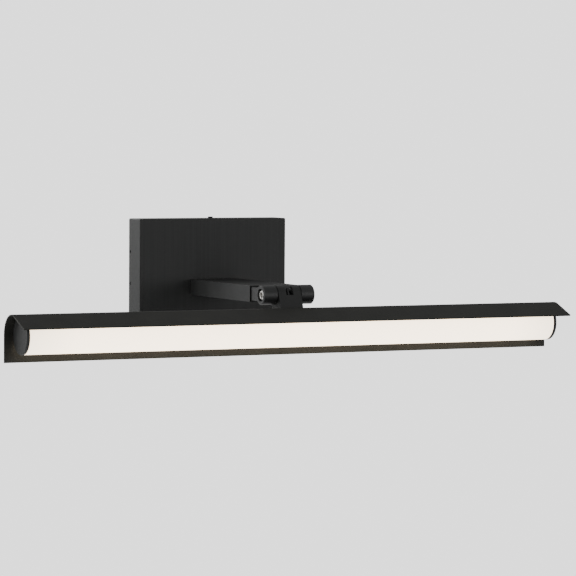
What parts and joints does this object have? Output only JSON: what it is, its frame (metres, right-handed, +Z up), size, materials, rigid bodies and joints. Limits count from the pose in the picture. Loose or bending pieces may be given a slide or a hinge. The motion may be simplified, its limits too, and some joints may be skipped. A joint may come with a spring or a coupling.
{
  "type": "picture light",
  "caption": "Wall-mounted picture light: rectangular canopy, flat tubular arm, friction tilt hinge and a bent sheet shade over a round opal LED tube.",
  "frame": {"origin": "centre of the canopy's footprint on the wall, on the back face of the wall bracket", "axes": "+X along the light, +Y into the wall, +Z up; the light stands off the wall towards -Y"},
  "size_m": [0.61, 0.2535, 0.1343],
  "materials": {
    "black_paint": "fine matt black powder coat on steel",
    "zinc_steel": "zinc plated",
    "bright_steel": "bright stainless",
    "black_steel": "black oxide",
    "aluminium": "satin mill",
    "white_plastic": "moulded",
    "green_board": "solder-masked laminate",
    "white_board": "white solder mask with LED packages",
    "brass": "plain",
    "nylon": "nylon",
    "rubber": "soft black",
    "opal": "opal polycarbonate, lit from inside",
    "insulation_live": "brown insulation",
    "insulation_neutral": "blue insulation",
    "insulation_earth": "green insulation with a yellow stripe",
    "insulation_black": "black sheathed lead"
  },
  "bodies": {
    "wall_unit": {"wall_bracket": "zinc_steel", "canopy_cover": "black_paint", "canopy_top_screw": "black_steel", "canopy_side_screw_left_upper": "black_steel", "canopy_side_screw_left_lower": "black_steel", "canopy_side_screw_right_upper": "black_steel", "canopy_side_screw_right_lower": "black_steel", "driver_base": "white_plastic", "driver_case": "white_plastic", "driver_board": "green_board", "driver_screw_left": "zinc_steel", "driver_screw_right": "zinc_steel", "terminal_block": "white_plastic", "earth_screw": "brass", "earth_lug_washer": "brass", "lead_live": "insulation_live", "lead_neutral": "insulation_neutral", "lead_earth": "insulation_earth", "arm_lead": "insulation_black", "arm_backing_plate": "zinc_steel", "arm_screw_left": "zinc_steel", "arm_screw_right": "zinc_steel", "arm_end_block": "aluminium", "arm_block_screw_left": "black_steel", "arm_block_screw_right": "black_steel", "arm_tube": "black_paint", "hinge_yoke": "black_paint", "yoke_screw_left": "black_steel", "yoke_screw_right": "black_steel", "tilt_screw": "bright_steel", "spring_washer": "black_steel", "friction_washer_left": "nylon", "friction_washer_right": "nylon"},
    "lamp_head": {"knuckle": "black_paint", "pivot_bush": "black_steel", "neck_screw_left": "black_steel", "neck_screw_right": "black_steel", "shade": "black_paint", "shade_grommet": "rubber", "channel_screw_1": "black_steel", "channel_screw_2": "black_steel", "channel_screw_3": "black_steel", "channel_screw_4": "black_steel", "led_channel": "aluminium", "led_board": "white_board", "board_connector": "white_plastic", "diffuser": "opal", "end_cap_left": "black_paint", "end_cap_right": "black_paint", "head_lead": "insulation_black"}
  },
  "joints": [
    {"name": "head_tilt", "type": "hinge", "parent": "wall_unit", "child": "lamp_head", "pos_m": [0, -0.1989, -0.0202], "axis": [1, 0, 0], "range_deg": [-90, 70]}
  ]
}
